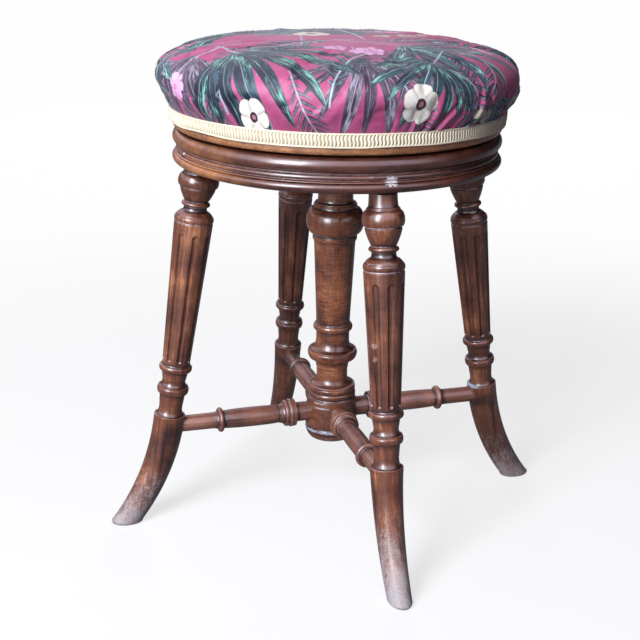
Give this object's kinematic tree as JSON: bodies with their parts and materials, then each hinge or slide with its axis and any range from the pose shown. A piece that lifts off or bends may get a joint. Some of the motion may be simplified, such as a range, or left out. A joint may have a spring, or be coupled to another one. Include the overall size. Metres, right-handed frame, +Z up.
{
  "type": "piano stool",
  "caption": "Revolving piano stool: round stuffed seat that winds up on a steel screw, over a turned frame with fluted legs and sabre feet.",
  "frame": {"origin": "on the floor under the column's axis", "axes": "+Z up along the column and the seat's screw; the front leg stands towards -Y and the right leg towards +X"},
  "size_m": [0.487, 0.487, 0.4998],
  "materials": {
    "mahogany": "old polish, worn to a lighter brown on the edges",
    "worn_mahogany": "thin worn polish",
    "cast_iron": "dull, dark with age",
    "steel": "oiled, with cut threads",
    "hair_stuffing": "matt horsehair and wadding",
    "printed_cotton": "satin-weave cotton with a leaf and blossom print",
    "cream_gimp": "ribbed upholstery braid"
  },
  "bodies": {
    "frame": {"front_leg": "mahogany", "right_leg": "mahogany", "back_leg": "mahogany", "left_leg": "mahogany", "front_stretcher": "mahogany", "right_stretcher": "mahogany", "back_stretcher": "mahogany", "left_stretcher": "mahogany", "platform": "mahogany", "column": "mahogany", "screw_socket": "cast_iron", "socket_screw_1": "steel", "socket_screw_2": "steel", "socket_screw_3": "steel", "socket_screw_4": "steel"},
    "stop": {"stop_washer": "steel"},
    "seat": {"seat_screw": "steel", "stop_nut": "steel", "seat_plate": "cast_iron", "plate_screw_1": "steel", "plate_screw_2": "steel", "plate_screw_3": "steel", "plate_screw_4": "steel", "seat_board": "worn_mahogany", "stuffing": "hair_stuffing", "cushion_cover": "printed_cotton", "gimp": "cream_gimp"}
  },
  "joints": [
    {"name": "seat_rise", "type": "slide", "parent": "frame", "child": "stop", "axis": [0, 0, 1], "range_m": [0, 0.1001]},
    {"name": "seat_spin", "type": "hinge", "parent": "stop", "child": "seat", "pos_m": [0, 0, 0.3], "axis": [0, 0, 1], "range_deg": [0, 5670]}
  ],
  "couplings": [
    {"joint": "seat_rise", "follows": "seat_spin", "m_per_rad": 0.0010106}
  ]
}
